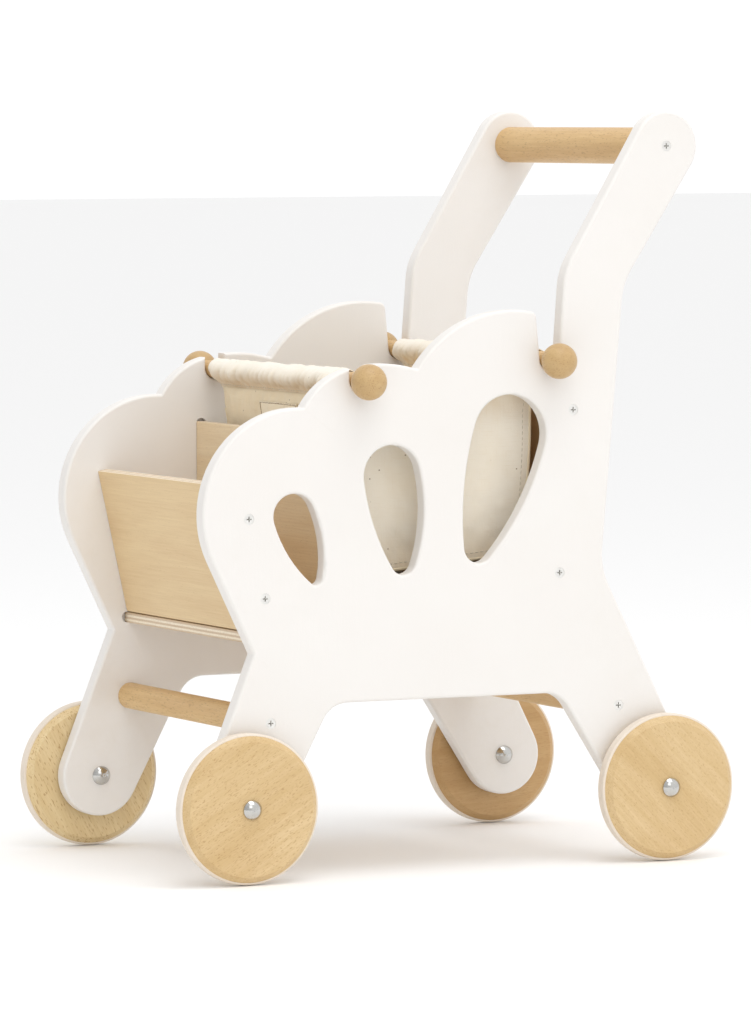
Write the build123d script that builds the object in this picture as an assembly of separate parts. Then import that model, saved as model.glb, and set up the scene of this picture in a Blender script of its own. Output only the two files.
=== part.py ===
from build123d import *
from math import acos, atan2, cos, degrees, hypot, radians, sin, sqrt
import os

# Wooden doll stroller: two cut-out side panels joined by dowels and plywood boards,
# four wooden wheels with rubber tyres, and a canvas carrier that lifts out on two dowels.
# Millimetres. The front faces -Y, the handle is at +Y, +X is the pusher's left, +Z is up,
# and the origin is on the ground midway between the wheels. 2-D points are (y, z) pairs.

CENTER_MIN = (Align.CENTER, Align.CENTER, Align.MIN)

# ---- overall ----
inner_width = 220.0          # between the inner faces of the side panels
panel_t = 12.0               # side panel board
panel_edge_r = 2.0           # rounding round every outline and cut-out of a side panel
board_t = 7.0                # plywood boards
board_edge_r = 0.8
board_gap = 0.4              # each end of a screwed board, short of the side panel
groove_depth = 4.0
groove_play = 0.2            # board to groove wall, one side
divider_groove_inset = 0.2   # its round end below the board's top, as a share of board_t
overlap = 1.0                # how far a cutter runs past the face it opens

# ---- wheels and axles ----
tyre_d = 100.0
tyre_proud = 1.5             # tyre above the wooden disc
wheel_w = 16.0
wheel_bevel = 4.0
tyre_w = 8.0
tyre_seat = 2.5              # depth of the rim groove that holds the tyre
tyre_edge_r = 1.2
tyre_play = 0.05
wheelbase = 312.0
axle_d = 6.0
axle_play = 0.06             # radial running clearance in a wheel
axle_seat_play = 0.02        # radial clearance in a leg, a washer and a cap
wheel_gap = 2.0              # side panel to wheel
end_play = 0.3               # along the axle, each side of a wheel
washer_d = 14.0
cap_d = 13.0
cap_h = 4.5
cap_rim_h = 0.8
cap_hole_depth = 3.0

# ---- side panel outline ----
leg_r = 28.0                 # rounded leg end, round the axle
belly_z = 116.0              # lower edge between the legs
belly_corner_r = 20.0
front_waist = (-146.0, 150.5)
rear_waist = (112.5, 199.5)
belly_front_y = -89.5        # where the front leg's inner edge would meet the lower edge
belly_rear_y = 81.0
front_lobe = (-112.5, 242.5)
front_lobe_r = 70.0
rear_lobe = (46.0, 288.6)
rear_lobe_r = 86.0
front_cusp_y = -109.0        # between front and middle lobe
rear_cusp_y = -25.5          # between middle and rear lobe
middle_lobe = [(-91.0, 331.0), (-70.0, 338.5), (-46.0, 340.2)]
rear_tip_y = 63.3
knee_front = (84.8, 400.5)
knee_rear = (129.7, 390.7)
knee_r = 45.0
arm_r = 23.5                 # rounded arm end, round the handle bar
cusp_r = 1.5
tip_r = 5.0
# each teardrop cut-out: crown (y, z), crown radius, foot (y, z), foot radius, rear and front side radii
cutouts = [
    ((-115.9, 240.8), 15.0, (-100.4, 199.8), 4.8, 80.0, 87.0),
    ((-44.2, 265.6), 20.6, (-35.9, 208.8), 9.2, 110.0, 150.0),
    ((43.8, 291.0), 27.0, (20.3, 216.4), 10.8, 180.0, 215.0),
]

# ---- cross bars ----
handle_d = 25.0
handle_at = (162.1, 483.5)
stretcher_d = 18.0
front_stretcher_at = (-134.0, 104.6)
rear_stretcher_at = (125.3, 105.8)
bar_edge_r = 0.5

# ---- boards ----
floor_z = 162.4              # top of the floor board
floor_front_y = -136.0
floor_rear_y = 81.0
front_board_h = 100.0
front_board_lean = 12.3      # degrees, top towards the front
front_board_lift = 0.6       # shadow gap under the board's front edge
front_board_screws = (24.0, 78.0)      # up the board from its lower edge
back_board_h = 165.0
back_board_lean = -5.4
back_board_y = 77.4          # middle of the board at its lower edge
back_board_screws = (34.0, 144.0)
divider_y = -79.0            # middle of the board
divider_top_z = 293.2

# ---- screws ----
screw_head_d = 7.0
screw_head_h = 2.4
screw_shank_d = 3.5
screw_l = 38.0
screw_tip_l = 5.0
screw_sink = 0.2             # head below the panel's face
screw_play = 0.1
recess_w = 0.9               # cross recess: slot width, span and depth
recess_span = 3.8
recess_depth = 1.6

# ---- canvas carrier ----
bag_dowel_d = 12.0
front_dowel_at = (-68.2, 329.0)
rear_dowel_at = (73.3, 340.2)
rest_gap = 0.3               # dowel to the bottom of its seat
seat_side_play = 1.0         # dowel to the sides of its seat
ball_d = 24.0
ball_gap = 2.0               # side panel to ball
ball_bore_play = 0.05
bag_side_gap = 17.0          # side panel to the carrier's side wall
sleeve_side_gap = 6.0        # side panel to the end of a sleeve
cloth_t = 1.6
sleeve_play = 0.3
hem_h = 11.0                 # stitched band below each dowel
bag_drop = 129.0             # dowel centre to the carrier's base
bag_tuck = 7.5               # how far the base is shorter than the mouth, each end
label_w = 60.0
label_h = 22.0
label_t = 0.7
label_top_z = 310.5

# ---- worked out ----
half_in = inner_width / 2
half_out = half_in + panel_t
hub_z = tyre_d / 2
wheel_d = tyre_d - 2 * tyre_proud
front_hub = (-wheelbase / 2, hub_z)
rear_hub = (wheelbase / 2, hub_z)
seat_r = bag_dowel_d / 2 + seat_side_play
seat_drop = seat_r - bag_dowel_d / 2 - rest_gap
bag_half_w = half_in - bag_side_gap
sleeve_half_w = half_in - sleeve_side_gap
ball_x = half_out + ball_gap + ball_d / 2
front_seat = (front_dowel_at[0], front_dowel_at[1] + seat_drop)
rear_seat = (rear_dowel_at[0], rear_dowel_at[1] + seat_drop)


# ---- plane geometry ----
def unit(a, b):
    d = hypot(b[0] - a[0], b[1] - a[1])
    return ((b[0] - a[0]) / d, (b[1] - a[1]) / d)


def touch(p, c, r, side):
    """Point where the line from p touches the circle; side 1 is to the left seen from p."""
    d = hypot(c[0] - p[0], c[1] - p[1])
    turn = side * acos(r / d)
    a = atan2(p[1] - c[1], p[0] - c[0]) - turn
    return (c[0] + r * cos(a), c[1] + r * sin(a))


def on_circle_above(c, r, y):
    return (y, c[1] + sqrt(r * r - (y - c[0]) ** 2))


def arc_round(c, r, a, b, via):
    """Arc about c from a to b through the side that the direction via points to."""
    k = hypot(*via)
    return ThreePointArc(a, (c[0] + r * via[0] / k, c[1] + r * via[1] / k), b)


def mean_direction(c, a, b):
    u = unit(c, a)
    v = unit(c, b)
    return (u[0] + v[0], u[1] + v[1])


def on_side(shape_2d, x0, x1):
    """Extrude a (y, z) face from x0 to x1."""
    return extrude(Plane.YZ.offset(x0) * shape_2d, amount=x1 - x0)


def both_sides(shape):
    return [shape, mirror(shape, about=Plane.YZ)]


def disc(at, r, x0, x1):
    """Cylinder along X about the (y, z) point."""
    return on_side(Pos(*at) * Circle(r), x0, x1)


def strip(p0, p1, width):
    """Round-ended slot face from p0 to p1."""
    a = degrees(atan2(p1[1] - p0[1], p1[0] - p0[0]))
    middle = ((p0[0] + p1[0]) / 2, (p0[1] + p1[1]) / 2)
    length = hypot(p1[0] - p0[0], p1[1] - p0[1])
    return Pos(*middle) * Rot(0, 0, a) * SlotCenterToCenter(length, width)


def leaning(foot, lean, height, y0, y1):
    """(y, z) rectangle on foot, leaning towards the front by lean degrees."""
    a = radians(lean)
    up = (-sin(a), cos(a))
    back = (cos(a), sin(a))
    corners = []
    for s, t in ((0, y0), (0, y1), (height, y1), (height, y0)):
        corners.append((foot[0] + s * up[0] + t * back[0], foot[1] + s * up[1] + t * back[1]))
    return make_face(Polyline(*corners, close=True))


def up_board(foot, lean, s):
    a = radians(lean)
    return (foot[0] - s * sin(a), foot[1] + s * cos(a))


# ---- side panels ----
def panel_outline():
    front_cusp = on_circle_above(front_lobe, front_lobe_r, front_cusp_y)
    rear_cusp = on_circle_above(rear_lobe, rear_lobe_r, rear_cusp_y)
    tip = on_circle_above(rear_lobe, rear_lobe_r, rear_tip_y)
    belly_front = (belly_front_y, belly_z)
    belly_rear = (belly_rear_y, belly_z)

    front_outer = touch(front_waist, front_hub, leg_r, -1)
    front_inner = touch(belly_front, front_hub, leg_r, 1)
    rear_inner = touch(belly_rear, rear_hub, leg_r, -1)
    rear_outer = touch(rear_waist, rear_hub, leg_r, 1)
    lobe_start = touch(front_waist, front_lobe, front_lobe_r, 1)
    seat_front = touch(tip, rear_seat, seat_r, -1)
    seat_rear = touch(knee_front, rear_seat, seat_r, 1)
    arm_front = touch(knee_front, handle_at, arm_r, 1)
    arm_rear = touch(knee_rear, handle_at, arm_r, -1)
    knee_middle = ((knee_front[0] + knee_rear[0]) / 2, (knee_front[1] + knee_rear[1]) / 2)

    edges = [
        arc_round(front_hub, leg_r, front_inner, front_outer, (0, -1)),
        Line(front_outer, front_waist),
        Line(front_waist, lobe_start),
        arc_round(front_lobe, front_lobe_r, lobe_start, front_cusp,
                  mean_direction(front_lobe, lobe_start, front_cusp)),
        ThreePointArc(front_cusp, middle_lobe[0], middle_lobe[1]),
        ThreePointArc(middle_lobe[1], middle_lobe[2], rear_cusp),
        arc_round(rear_lobe, rear_lobe_r, rear_cusp, tip, mean_direction(rear_lobe, rear_cusp, tip)),
        Line(tip, seat_front),
        arc_round(rear_seat, seat_r, seat_front, seat_rear, (0, -1)),
        Line(seat_rear, knee_front),
        Line(knee_front, arm_front),
        arc_round(handle_at, arm_r, arm_front, arm_rear, unit(knee_middle, handle_at)),
        Line(arm_rear, knee_rear),
        Line(knee_rear, rear_waist),
        Line(rear_waist, rear_outer),
        arc_round(rear_hub, leg_r, rear_outer, rear_inner, (0, -1)),
        Line(rear_inner, belly_rear),
        Line(belly_rear, belly_front),
        Line(belly_front, front_inner),
    ]
    outline = make_face(edges)
    rounded = [
        (front_waist, cusp_r), (front_cusp, cusp_r), (rear_cusp, cusp_r), (rear_waist, knee_r),
        (tip, tip_r), (knee_front, knee_r), (knee_rear, knee_r),
        (belly_front, belly_corner_r), (belly_rear, belly_corner_r),
    ]
    for point, radius in rounded:
        corner = outline.vertices().sort_by_distance((*point, 0))[0]
        outline = fillet(corner, radius)
    return outline


def front_seat_cut():
    top = front_seat[1] + 3 * seat_r
    middle = (front_seat[0], (front_seat[1] + top) / 2)
    return Pos(*front_seat) * Circle(seat_r) + Pos(*middle) * Rectangle(2 * seat_r, top - front_seat[1])


def side_arc_centre(crown, crown_r, foot, foot_r, side_r, side):
    """Centre of an arc that holds both circles and touches them; side 1 is the rear side."""
    d = unit(crown, foot)
    n = (-d[1], d[0])
    apart = hypot(foot[0] - crown[0], foot[1] - crown[1])
    to_crown = side_r - crown_r
    to_foot = side_r - foot_r
    along = (to_crown ** 2 - to_foot ** 2 + apart ** 2) / (2 * apart)
    off = side * sqrt(to_crown ** 2 - along ** 2)
    return (crown[0] + d[0] * along - n[0] * off, crown[1] + d[1] * along - n[1] * off)


def teardrop(crown, crown_r, foot, foot_r, rear_side_r, front_side_r):
    """Closed outline of a crown arc and a foot arc, joined smoothly by two long side arcs."""
    ends = []
    sides = []
    for side_r, side in ((rear_side_r, 1), (front_side_r, -1)):
        c = side_arc_centre(crown, crown_r, foot, foot_r, side_r, side)
        to_crown = unit(c, crown)
        to_foot = unit(c, foot)
        top = (c[0] + side_r * to_crown[0], c[1] + side_r * to_crown[1])
        bottom = (c[0] + side_r * to_foot[0], c[1] + side_r * to_foot[1])
        sides.append(arc_round(c, side_r, top, bottom, mean_direction(c, top, bottom)))
        ends.append((top, bottom))
    (rear_top, rear_bottom), (front_top, front_bottom) = ends
    over = arc_round(crown, crown_r, front_top, rear_top, unit(foot, crown))
    under = arc_round(foot, foot_r, rear_bottom, front_bottom, unit(crown, foot))
    return make_face([over, sides[0], under, sides[1]])


def side_panel():
    """The +X panel. A groove's round end is centred on its board's end, the divider's a little lower."""
    face = panel_outline() - front_seat_cut()
    for cutout in cutouts:
        face = face - teardrop(*cutout)
    board = on_side(face, half_in, half_out)
    rims = board.faces().sort_by(Axis.X)[0].edges() + board.faces().sort_by(Axis.X)[-1].edges()
    board = fillet(rims, panel_edge_r)

    width = board_t + 2 * groove_play
    floor_mid = floor_z - board_t / 2 + groove_play
    floor_groove = strip((floor_front_y, floor_mid), (floor_rear_y, floor_mid), width)
    divider_groove_top = divider_top_z - divider_groove_inset * board_t
    divider_groove = strip((divider_y, floor_z), (divider_y, divider_groove_top), width)
    board -= on_side(floor_groove, half_in - overlap, half_in + groove_depth)
    board -= on_side(divider_groove, half_in - overlap, half_in + groove_depth)
    for hub in (front_hub, rear_hub):
        board -= disc(hub, axle_d / 2 + axle_seat_play, half_in - overlap, half_out + overlap)
    for at in all_screw_places():
        board -= screw_hole(at)
    return board


# ---- screws: axis along X, head on the +X side panel ----
def screw_profile(play):
    """Half outline (radius, depth below the face) of a countersunk wood screw."""
    head_r = screw_head_d / 2 + play
    shank_r = screw_shank_d / 2 + play
    return make_face(Polyline(
        (0, 0), (head_r, 0), (shank_r, -screw_head_h), (shank_r, screw_tip_l - screw_l),
        (0, -screw_l - play), close=True))


def screw_solid(play):
    upright = revolve(Plane.XZ * screw_profile(play), Axis.Z)
    return Rot(0, 90, 0) * upright


def place_screw(shape, at):
    return Pos(half_out - screw_sink, *at) * shape


def screw(at):
    body = screw_solid(0)
    half_span = recess_span / 2
    wing = Box(recess_depth, recess_span, recess_w) + Box(recess_depth, recess_w, recess_span)
    body -= Pos(-recess_depth / 2, 0, 0) * wing
    body -= Pos(-recess_depth, 0, 0) * Rot(0, -90, 0) * Cone(half_span / 2, 0, half_span, align=CENTER_MIN)
    return place_screw(body, at)


def screw_hole(at):
    """Clearance for a screw, open to the panel's face."""
    mouth = disc(at, screw_head_d / 2 + screw_play, half_out - screw_sink, half_out + overlap)
    return place_screw(screw_solid(screw_play), at) + mouth


def front_board_foot():
    """Lower front corner of the front board."""
    return (floor_front_y, floor_z + front_board_lift)


def back_board_foot():
    """Middle of the back board's lower edge."""
    return (back_board_y, floor_z + front_board_lift + board_t / 2 * abs(sin(radians(back_board_lean))))


def front_board_screw_places():
    a = radians(front_board_lean)
    foot = front_board_foot()
    middle = (foot[0] + board_t / 2 * cos(a), foot[1] + board_t / 2 * sin(a))
    return [up_board(middle, front_board_lean, s) for s in front_board_screws]


def back_board_screw_places():
    return [up_board(back_board_foot(), back_board_lean, s) for s in back_board_screws]


def all_screw_places():
    places = [handle_at, front_stretcher_at, rear_stretcher_at]
    return places + front_board_screw_places() + back_board_screw_places()


def screw_group(places):
    solids = []
    for at in places:
        solids += both_sides(screw(at))
    return Compound(solids)


# ---- boards between the side panels ----
def soften(board):
    """Round the long edges of a board, those along X."""
    return fillet(board.edges().filter_by(Axis.X), board_edge_r)


def with_screw_holes(piece, places):
    for at in places:
        for hole in both_sides(screw_hole(at)):
            piece -= hole
    return piece


def front_board():
    half = half_in - board_gap
    face = leaning(front_board_foot(), front_board_lean, front_board_h, 0, board_t)
    return with_screw_holes(soften(on_side(face, -half, half)), front_board_screw_places())


def back_board():
    half = half_in - board_gap
    face = leaning(back_board_foot(), back_board_lean, back_board_h, -board_t / 2, board_t / 2)
    return with_screw_holes(soften(on_side(face, -half, half)), back_board_screw_places())


def floor_board():
    half = half_in + groove_depth - board_gap
    length = floor_rear_y - floor_front_y
    middle = ((floor_front_y + floor_rear_y) / 2, floor_z - board_t / 2)
    return soften(on_side(Pos(*middle) * Rectangle(length, board_t), -half, half))


def divider():
    half = half_in + groove_depth - board_gap
    height = divider_top_z - floor_z
    middle = (divider_y, floor_z + height / 2)
    return soften(on_side(Pos(*middle) * Rectangle(board_t, height), -half, half))


def cross_bar(at, d):
    bar = disc(at, d / 2, -half_in, half_in)
    bar = fillet(bar.edges().filter_by(GeomType.CIRCLE), bar_edge_r)
    return with_screw_holes(bar, [at])


# ---- wheels, built on the +X side ----
def wheel(hub):
    x0 = half_out + wheel_gap
    solid = disc(hub, wheel_d / 2, x0, x0 + wheel_w)
    solid = chamfer(solid.edges().filter_by(GeomType.CIRCLE), wheel_bevel)
    middle = x0 + wheel_w / 2
    half = tyre_w / 2 + tyre_play
    seat = disc(hub, wheel_d, middle - half, middle + half)
    seat -= disc(hub, wheel_d / 2 - tyre_seat, middle - half, middle + half)
    bore = disc(hub, axle_d / 2 + axle_play, x0 - overlap, x0 + wheel_w + overlap)
    return solid - seat - bore


def tyre(hub):
    middle = half_out + wheel_gap + wheel_w / 2
    x0 = middle - tyre_w / 2
    x1 = middle + tyre_w / 2
    band = disc(hub, tyre_d / 2, x0, x1)
    band = fillet(band.edges().filter_by(GeomType.CIRCLE), tyre_edge_r)
    return band - disc(hub, wheel_d / 2 - tyre_seat + tyre_play, x0 - overlap, x1 + overlap)


def axle_ends():
    """Ends of an axle pin: inside the inner cap and inside the outer cap."""
    outer_face = half_out + wheel_gap + wheel_w + end_play
    return (half_in - cap_hole_depth, outer_face + cap_hole_depth)


def axle_pin(hub):
    x0, x1 = axle_ends()
    return disc(hub, axle_d / 2, x0, x1)


def dome_cap():
    """Push-on cap along +Z, with its rim on the XY plane."""
    r = cap_d / 2
    dome_h = cap_h - cap_rim_h
    dome_r = (r * r + dome_h * dome_h) / (2 * dome_h)
    dome = Pos(0, 0, cap_h - dome_r) * Sphere(dome_r)
    solid = dome & Cylinder(r, cap_h, align=CENTER_MIN)
    hole = Cylinder(axle_d / 2 + axle_seat_play, cap_hole_depth + axle_seat_play, align=CENTER_MIN)
    return solid - hole


def outer_cap(hub):
    x = half_out + wheel_gap + wheel_w + end_play
    return Pos(x, *hub) * Rot(0, 90, 0) * dome_cap()


def inner_cap(hub):
    return Pos(half_in, *hub) * Rot(0, -90, 0) * dome_cap()


def washer(hub):
    x1 = half_out + wheel_gap - end_play
    return disc(hub, washer_d / 2, half_out, x1) - disc(hub, axle_d / 2 + axle_seat_play, half_out, x1)


def four(make):
    solids = []
    for hub in (front_hub, rear_hub):
        solids += both_sides(make(hub))
    return Compound(solids)


# ---- canvas carrier ----
def bag_dowel(at):
    return disc(at, bag_dowel_d / 2, -ball_x, ball_x)


def ball(at):
    x = ball_x
    solid = Pos(x, *at) * Sphere(ball_d / 2)
    return solid - disc(at, bag_dowel_d / 2 + ball_bore_play, x - ball_d, x + ball_bore_play)


def bag_foot(at, inward):
    """Foot of the carrier's wall that hangs from the dowel at the given place."""
    return (at[0] + inward * bag_tuck, at[1] - bag_drop)


def hung_strip(at, foot, s0, s1, offset0, offset1):
    """(y, z) face on the line from a dowel to a wall's foot, between two distances down it."""
    d = unit(at, foot)
    n = (-d[1], d[0])
    corners = []
    for s, t in ((s0, offset0), (s1, offset0), (s1, offset1), (s0, offset1)):
        corners.append((at[0] + s * d[0] + t * n[0], at[1] + s * d[1] + t * n[1]))
    return make_face(Polyline(*corners, close=True))


def sleeve(at, foot):
    outer = bag_dowel_d / 2 + sleeve_play + cloth_t
    ring = disc(at, outer, -sleeve_half_w, sleeve_half_w)
    hem = hung_strip(at, foot, 0, outer + hem_h, -cloth_t / 2, cloth_t / 2)
    ring += on_side(hem, -sleeve_half_w, sleeve_half_w)
    return ring - disc(at, bag_dowel_d / 2 + sleeve_play, -half_out, half_out)


def hem_foot():
    return bag_dowel_d / 2 + sleeve_play + cloth_t + hem_h


def bag_end(at, foot):
    length = hypot(foot[0] - at[0], foot[1] - at[1])
    half = bag_half_w - cloth_t
    return on_side(hung_strip(at, foot, hem_foot(), length, -cloth_t / 2, cloth_t / 2), -half, half)


def bag_profile(front_foot, rear_foot):
    """Corners of the carrier seen from the side, outside its end walls."""
    corners = []
    for at, foot, side in ((front_dowel_at, front_foot, -1), (rear_dowel_at, rear_foot, 1)):
        d = unit(at, foot)
        n = (-d[1], d[0])
        sign = side if n[0] > 0 else -side
        t = sign * cloth_t / 2
        length = hypot(foot[0] - at[0], foot[1] - at[1])
        pair = [(at[0] + s * d[0] + t * n[0], at[1] + s * d[1] + t * n[1]) for s in (hem_foot(), length)]
        corners.append(pair)
    return corners


def gusset(front_foot, rear_foot):
    front, rear = bag_profile(front_foot, rear_foot)
    outline = make_face(Polyline(front[0], rear[0], rear[1], front[1], close=True))
    return on_side(outline, bag_half_w - cloth_t, bag_half_w)


def bag_bottom(front_foot, rear_foot):
    front, rear = bag_profile(front_foot, rear_foot)
    a = front[1]
    b = rear[1]
    d = unit(a, b)
    n = (d[1], -d[0])
    under = [(p[0] + cloth_t * n[0], p[1] + cloth_t * n[1]) for p in (b, a)]
    return on_side(make_face(Polyline(a, b, *under, close=True)), -bag_half_w, bag_half_w)


def label(foot):
    at = front_dowel_at
    down = (at[1] - label_top_z)
    face = hung_strip(at, foot, down, down + label_h, -cloth_t / 2, -cloth_t / 2 - label_t)
    return on_side(face, -label_w / 2, label_w / 2)


# ---- write the parts ----
def build():
    parts = {}
    left = side_panel()
    parts["side_panel_left"] = left
    parts["side_panel_right"] = mirror(left, about=Plane.YZ)
    parts["handle_bar"] = cross_bar(handle_at, handle_d)
    parts["front_stretcher"] = cross_bar(front_stretcher_at, stretcher_d)
    parts["rear_stretcher"] = cross_bar(rear_stretcher_at, stretcher_d)
    parts["front_board"] = front_board()
    parts["back_board"] = back_board()
    parts["floor_board"] = floor_board()
    parts["divider_board"] = divider()
    parts["handle_screws"] = screw_group([handle_at])
    parts["stretcher_screws"] = screw_group([front_stretcher_at, rear_stretcher_at])
    parts["front_board_screws"] = screw_group(front_board_screw_places())
    parts["back_board_screws"] = screw_group(back_board_screw_places())

    for end, hub in (("front", front_hub), ("rear", rear_hub)):
        for name, make in (("wheel", wheel), ("tyre", tyre), ("axle_pin", axle_pin)):
            on_left, on_right = both_sides(make(hub))
            parts[f"{name}_{end}_left"] = on_left
            parts[f"{name}_{end}_right"] = on_right
    parts["axle_caps_outer"] = four(outer_cap)
    parts["axle_caps_inner"] = four(inner_cap)
    parts["axle_washers"] = four(washer)

    front_foot = bag_foot(front_dowel_at, 1)
    rear_foot = bag_foot(rear_dowel_at, -1)
    base = bag_bottom(front_foot, rear_foot)
    left_gusset = gusset(front_foot, rear_foot)
    for end, at, foot in (("front", front_dowel_at, front_foot), ("rear", rear_dowel_at, rear_foot)):
        parts[f"bag_dowel_{end}"] = bag_dowel(at)
        on_left, on_right = both_sides(ball(at))
        parts[f"ball_{end}_left"] = on_left
        parts[f"ball_{end}_right"] = on_right
        hem = sleeve(at, foot)
        parts[f"bag_sleeve_{end}"] = hem
        parts[f"bag_{end}"] = bag_end(at, foot) - base
        left_gusset -= hem
    on_left, on_right = both_sides(left_gusset)
    parts["bag_gusset_left"] = on_left
    parts["bag_gusset_right"] = on_right
    parts["bag_base"] = base
    parts["bag_label"] = label(front_foot)
    return parts


os.makedirs("parts", exist_ok=True)
for node, shape in build().items():
    export_step(shape, f"parts/{node}.step")
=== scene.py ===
import math

import bpy
import numpy as np
from mathutils import Matrix, Vector, noise


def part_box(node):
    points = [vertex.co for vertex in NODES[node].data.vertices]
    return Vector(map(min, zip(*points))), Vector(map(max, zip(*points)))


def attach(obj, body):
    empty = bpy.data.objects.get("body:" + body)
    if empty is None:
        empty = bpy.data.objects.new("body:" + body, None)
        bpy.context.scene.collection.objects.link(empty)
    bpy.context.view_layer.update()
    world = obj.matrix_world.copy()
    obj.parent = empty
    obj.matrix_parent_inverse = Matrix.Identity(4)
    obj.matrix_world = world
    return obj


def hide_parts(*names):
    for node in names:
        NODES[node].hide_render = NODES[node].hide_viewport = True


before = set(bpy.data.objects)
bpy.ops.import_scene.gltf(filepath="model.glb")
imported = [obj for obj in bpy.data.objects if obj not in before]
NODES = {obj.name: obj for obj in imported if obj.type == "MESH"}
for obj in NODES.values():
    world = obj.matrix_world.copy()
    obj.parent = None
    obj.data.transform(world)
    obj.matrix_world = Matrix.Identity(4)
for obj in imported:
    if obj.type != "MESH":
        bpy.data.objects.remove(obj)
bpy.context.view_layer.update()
MM = 0.001

# ------------------------------------------------------------------ shader helpers


class Shader:
    """A node material with one Principled surface."""

    def __init__(self, name):
        self.material = bpy.data.materials.new(name)
        self.material.use_nodes = True
        self.tree = self.material.node_tree
        self.tree.nodes.clear()
        self.output = self.tree.nodes.new("ShaderNodeOutputMaterial")
        self.surface = self.tree.nodes.new("ShaderNodeBsdfPrincipled")
        self.tree.links.new(self.surface.outputs[0], self.output.inputs["Surface"])

    def node(self, kind, inputs=(), **props):
        n = self.tree.nodes.new("ShaderNode" + kind)
        for key, value in props.items():
            setattr(n, key, value)
        for key, value in dict(inputs).items():
            self.put(n.inputs[key], value)
        return n

    def put(self, socket, value):
        if isinstance(value, bpy.types.NodeSocket):
            self.tree.links.new(value, socket)
        else:
            socket.default_value = value

    def place(self, turn=(0, 0, 0), scale=(1, 1, 1), shift=(0, 0, 0)):
        """Object coordinates, turned first and then stretched."""
        vector = self.node("TexCoord").outputs["Object"]
        turned = self.node("Mapping", {"Vector": vector, "Rotation": turn, "Location": shift})
        return self.stretch(turned.outputs[0], scale)

    def stretch(self, vector, scale):
        return self.node("Mapping", {"Vector": vector, "Scale": scale}).outputs[0]

    def flat(self, scale=(1, 1, 1)):
        """Place on the flat cloth, in metres."""
        vector = self.node("Attribute", attribute_name="flat").outputs["Vector"]
        return self.stretch(vector, scale)

    def noise(self, vector, scale=1.0, detail=3.0, rough=0.5, distortion=0.0):
        return self.node("TexNoise", {"Vector": vector, "Scale": scale, "Detail": detail,
                                      "Roughness": rough, "Distortion": distortion}).outputs["Fac"]

    def dot(self, a, b):
        return self.node("VectorMath", {0: a, 1: b}, operation="DOT_PRODUCT").outputs["Value"]

    def math(self, operation, a, b=0.0, c=0.0):
        return self.node("Math", {0: a, 1: b, 2: c}, operation=operation).outputs[0]

    def span(self, value, low, high, to_low=0.0, to_high=1.0):
        return self.node("MapRange", {"Value": value, "From Min": low, "From Max": high,
                                      "To Min": to_low, "To Max": to_high}).outputs["Result"]

    def mix(self, amount, a, b, blend="MIX"):
        n = self.tree.nodes.new("ShaderNodeMix")
        n.data_type = "RGBA"
        n.blend_type = blend
        self.put(n.inputs["Factor"], amount)
        self.put(n.inputs[6], (*a, 1) if isinstance(a, tuple) else a)
        self.put(n.inputs[7], (*b, 1) if isinstance(b, tuple) else b)
        return n.outputs[2]

    def bump(self, height, strength, distance, under=None):
        inputs = {"Height": height, "Strength": strength, "Distance": distance}
        if under is not None:
            inputs["Normal"] = under
        return self.node("Bump", inputs).outputs["Normal"]

    def finish(self, color, rough, normal=None, **constants):
        self.put(self.surface.inputs["Base Color"], (*color, 1) if isinstance(color, tuple) else color)
        self.put(self.surface.inputs["Roughness"], rough)
        if normal is not None:
            self.put(self.surface.inputs["Normal"], normal)
        for key, value in constants.items():
            self.surface.inputs[key.replace("_", " ")].default_value = value
        return self.material


def paint():
    """Satin water-based paint on board: faint brush and roller texture, slightly soiled edges."""
    s = Shader("painted_board")
    place = s.place()
    cloud = s.noise(place, 9, 3, 0.55)
    fine = s.noise(place, 900, 2, 0.6)
    grain = s.noise(s.place(scale=(1, 1, 0.14)), 420, 3, 0.6)
    color = s.mix(s.span(cloud, 0.35, 0.7), (0.825, 0.80, 0.77), (0.81, 0.78, 0.745))
    edge = s.node("NewGeometry").outputs["Pointiness"]
    worn = s.math("MULTIPLY", s.span(edge, 0.52, 0.62), s.span(s.noise(place, 60, 4, 0.7), 0.45, 0.75))
    color = s.mix(s.math("MULTIPLY", worn, 0.35), color, (0.74, 0.69, 0.62))
    rough = s.span(cloud, 0.3, 0.7, 0.42, 0.52)
    roller = s.bump(fine, 0.10, 0.0004)
    normal = s.bump(grain, 0.08, 0.0005, roller)
    return s.finish(color, rough, normal, Specular_IOR_Level=0.4)


def wood(name, turn, light, dark, fleck, streak=1.0, gloss=0.46, flecks=1.0, shift=(0, 0, 0), rings=90,
         fleck_size=1.0):
    """Beech: growth bands, fine fibre and short ray flecks, all stretched along the turned X axis."""
    s = Shader(name)
    broad = s.noise(s.place(turn, (7, rings, rings), shift), 1, 4, 0.6, 0.4)
    fibre = s.noise(s.place(turn, (30, 950, 950), shift), 1, 3, 0.6)
    dash = s.noise(s.place(turn, (250 / fleck_size, 1150 / fleck_size, 1150 / fleck_size), shift), 1, 1, 0.5)
    streaks = s.noise(s.place(turn, (60, 420, 420), shift), 1, 2, 0.6)
    cloud = s.noise(s.place(turn, (9, 22, 22), shift), 1, 2, 0.5)
    color = s.mix(s.span(broad, 0.36, 0.66, 0, streak), light, dark)
    color = s.mix(s.span(cloud, 0.35, 0.7, 0, 0.35), color, dark)
    color = s.mix(s.span(fibre, 0.3, 0.75, 0, 0.28 * streak), color, fleck)
    color = s.mix(s.span(streaks, 0.42, 0.68, 0, 0.5 * streak), color, dark)
    spots = s.span(dash, 0.60, 0.68, 0, 0.62 * flecks)
    color = s.mix(spots, color, fleck)
    rough = s.span(fibre, 0.3, 0.7, gloss - 0.05, gloss + 0.09)
    normal = s.bump(s.math("SUBTRACT", fibre, spots), 0.22, 0.0003)
    return s.finish(color, rough, normal, Specular_IOR_Level=0.42)


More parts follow.
